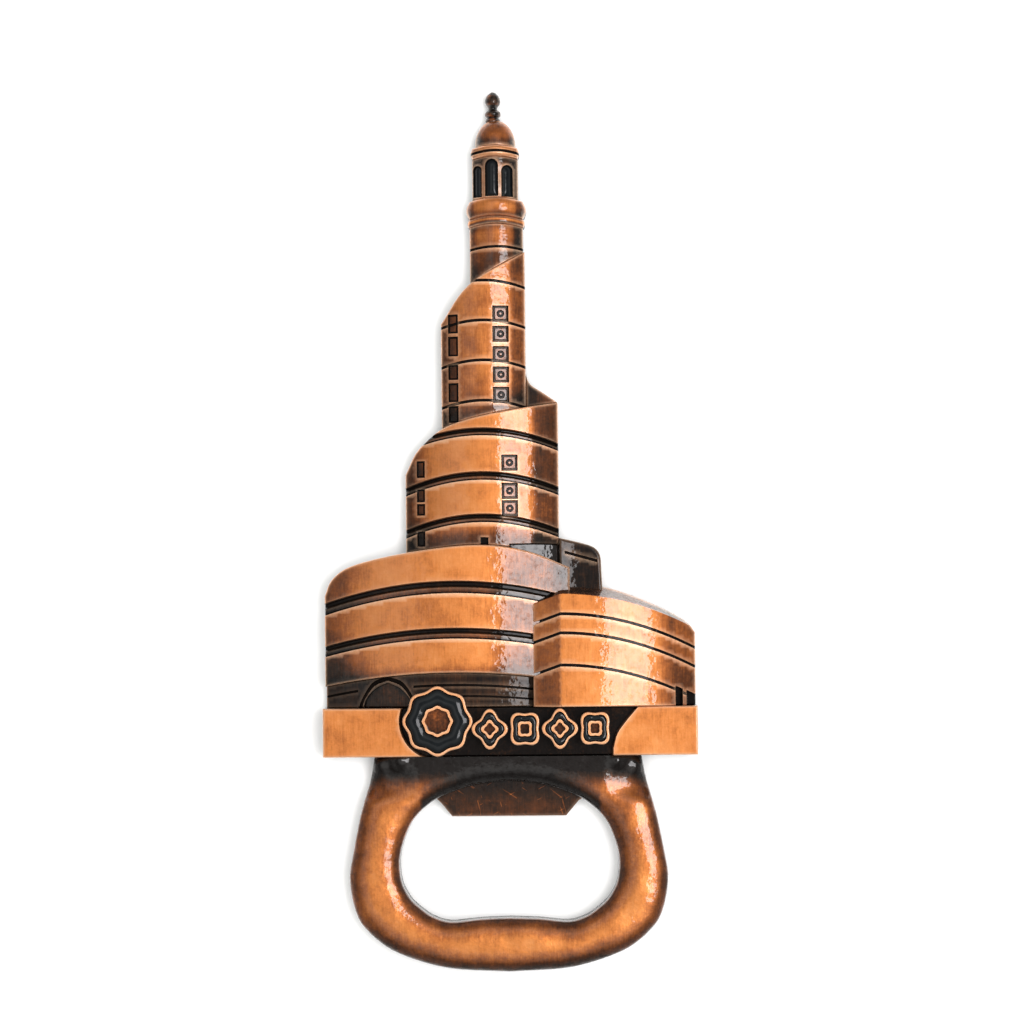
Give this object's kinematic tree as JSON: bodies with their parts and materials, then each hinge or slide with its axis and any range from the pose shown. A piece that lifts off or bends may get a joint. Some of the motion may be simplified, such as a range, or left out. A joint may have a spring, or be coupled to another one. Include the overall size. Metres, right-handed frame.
{
  "type": "souvenir bottle opener",
  "caption": "Flat metal souvenir bottle opener: a spiral tower relief above a band with an ornament row, and a rounded ring with a cap-lifting tongue.",
  "frame": {"origin": "middle of the flat back, on the plane that it lies on", "axes": "+Z out of the decorated face, +Y along the tower towards its finial, +X to the right seen from the front"},
  "size_m": [0.0504, 0.1192, 0.0068],
  "materials": {
    "antique_copper": "brushed antique copper plate under clear lacquer",
    "dark_copper": "darkened copper plate with light scratches",
    "oxide_copper": "black-brown oxide under clear lacquer",
    "black_enamel": "glossy black soft enamel, slightly domed"
  },
  "bodies": {
    "root": {"opener_frame": "antique_copper", "base_band": "antique_copper", "annex_wing": "antique_copper", "lower_drum": "antique_copper", "middle_drum": "antique_copper", "upper_drum": "antique_copper", "shaft": "antique_copper", "gallery": "antique_copper", "lantern": "antique_copper", "cornice": "antique_copper", "dome": "antique_copper", "ornament_cell_1": "antique_copper", "ornament_cell_2": "antique_copper", "ornament_cell_3": "antique_copper", "ornament_cell_4": "antique_copper", "ornament_cell_5": "antique_copper", "cap_lifter": "dark_copper", "gallery_collar": "dark_copper", "rear_parapet": "dark_copper", "finial": "dark_copper", "ground_storey": "oxide_copper", "rear_turret": "oxide_copper", "ornament_enamel_1": "black_enamel", "ornament_enamel_2": "black_enamel", "ornament_enamel_3": "black_enamel", "ornament_enamel_4": "black_enamel", "ornament_enamel_5": "black_enamel", "lantern_enamel_left": "black_enamel", "lantern_enamel_centre": "black_enamel", "lantern_enamel_right": "black_enamel"}
  },
  "joints": []
}
